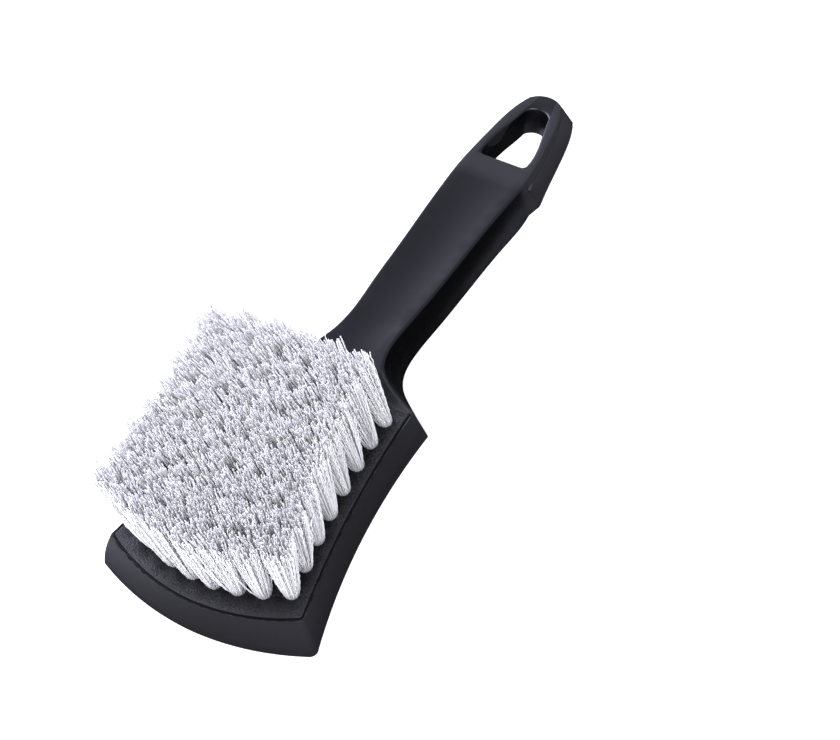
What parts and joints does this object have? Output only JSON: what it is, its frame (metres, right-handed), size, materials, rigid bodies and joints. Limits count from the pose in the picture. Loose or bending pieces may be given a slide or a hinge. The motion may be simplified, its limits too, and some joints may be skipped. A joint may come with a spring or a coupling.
{
  "type": "wheel brush",
  "caption": "Hand scrubbing brush with a flared flat head of stapled bristle tufts and a handle with a hanging loop, for wheels and tyres.",
  "frame": {"origin": "centre of the footprint of the overall length and width, on the flat back face", "axes": "+X from the brush head towards the hanging loop, +Z out of the head along the bristles, +Y to the left of the handle"},
  "size_m": [0.2399, 0.0824, 0.0512],
  "materials": {
    "body": "black injection-moulded polypropylene, satin, with a coarser spark-eroded grain on the deck",
    "bristle": "white drawn and crimped monofilament, slightly translucent",
    "anchor": "plain rolled flat wire"
  },
  "bodies": {
    "root": {"body": "body", "tuft_anchors": "anchor", "tuft_r1_c1": "bristle", "tuft_r1_c2": "bristle", "tuft_r1_c3": "bristle", "tuft_r1_c4": "bristle", "tuft_r1_c5": "bristle", "tuft_r1_c6": "bristle", "tuft_r1_c7": "bristle", "tuft_r1_c8": "bristle", "tuft_r2_c1": "bristle", "tuft_r2_c2": "bristle", "tuft_r2_c3": "bristle", "tuft_r2_c4": "bristle", "tuft_r2_c5": "bristle", "tuft_r2_c6": "bristle", "tuft_r2_c7": "bristle", "tuft_r2_c8": "bristle", "tuft_r3_c1": "bristle", "tuft_r3_c2": "bristle", "tuft_r3_c3": "bristle", "tuft_r3_c4": "bristle", "tuft_r3_c5": "bristle", "tuft_r3_c6": "bristle", "tuft_r3_c7": "bristle", "tuft_r4_c1": "bristle", "tuft_r4_c2": "bristle", "tuft_r4_c3": "bristle", "tuft_r4_c4": "bristle", "tuft_r4_c5": "bristle", "tuft_r4_c6": "bristle", "tuft_r4_c7": "bristle", "tuft_r5_c1": "bristle", "tuft_r5_c2": "bristle", "tuft_r5_c3": "bristle", "tuft_r5_c4": "bristle", "tuft_r5_c5": "bristle", "tuft_r5_c6": "bristle", "tuft_r5_c7": "bristle", "tuft_r6_c1": "bristle", "tuft_r6_c2": "bristle", "tuft_r6_c3": "bristle", "tuft_r6_c4": "bristle", "tuft_r6_c5": "bristle", "tuft_r6_c6": "bristle", "tuft_r7_c1": "bristle", "tuft_r7_c2": "bristle", "tuft_r7_c3": "bristle", "tuft_r7_c4": "bristle", "tuft_r7_c5": "bristle", "tuft_r7_c6": "bristle", "tuft_r8_c1": "bristle", "tuft_r8_c2": "bristle", "tuft_r8_c3": "bristle", "tuft_r8_c4": "bristle", "tuft_r8_c5": "bristle", "tuft_r8_c6": "bristle"}
  },
  "joints": []
}
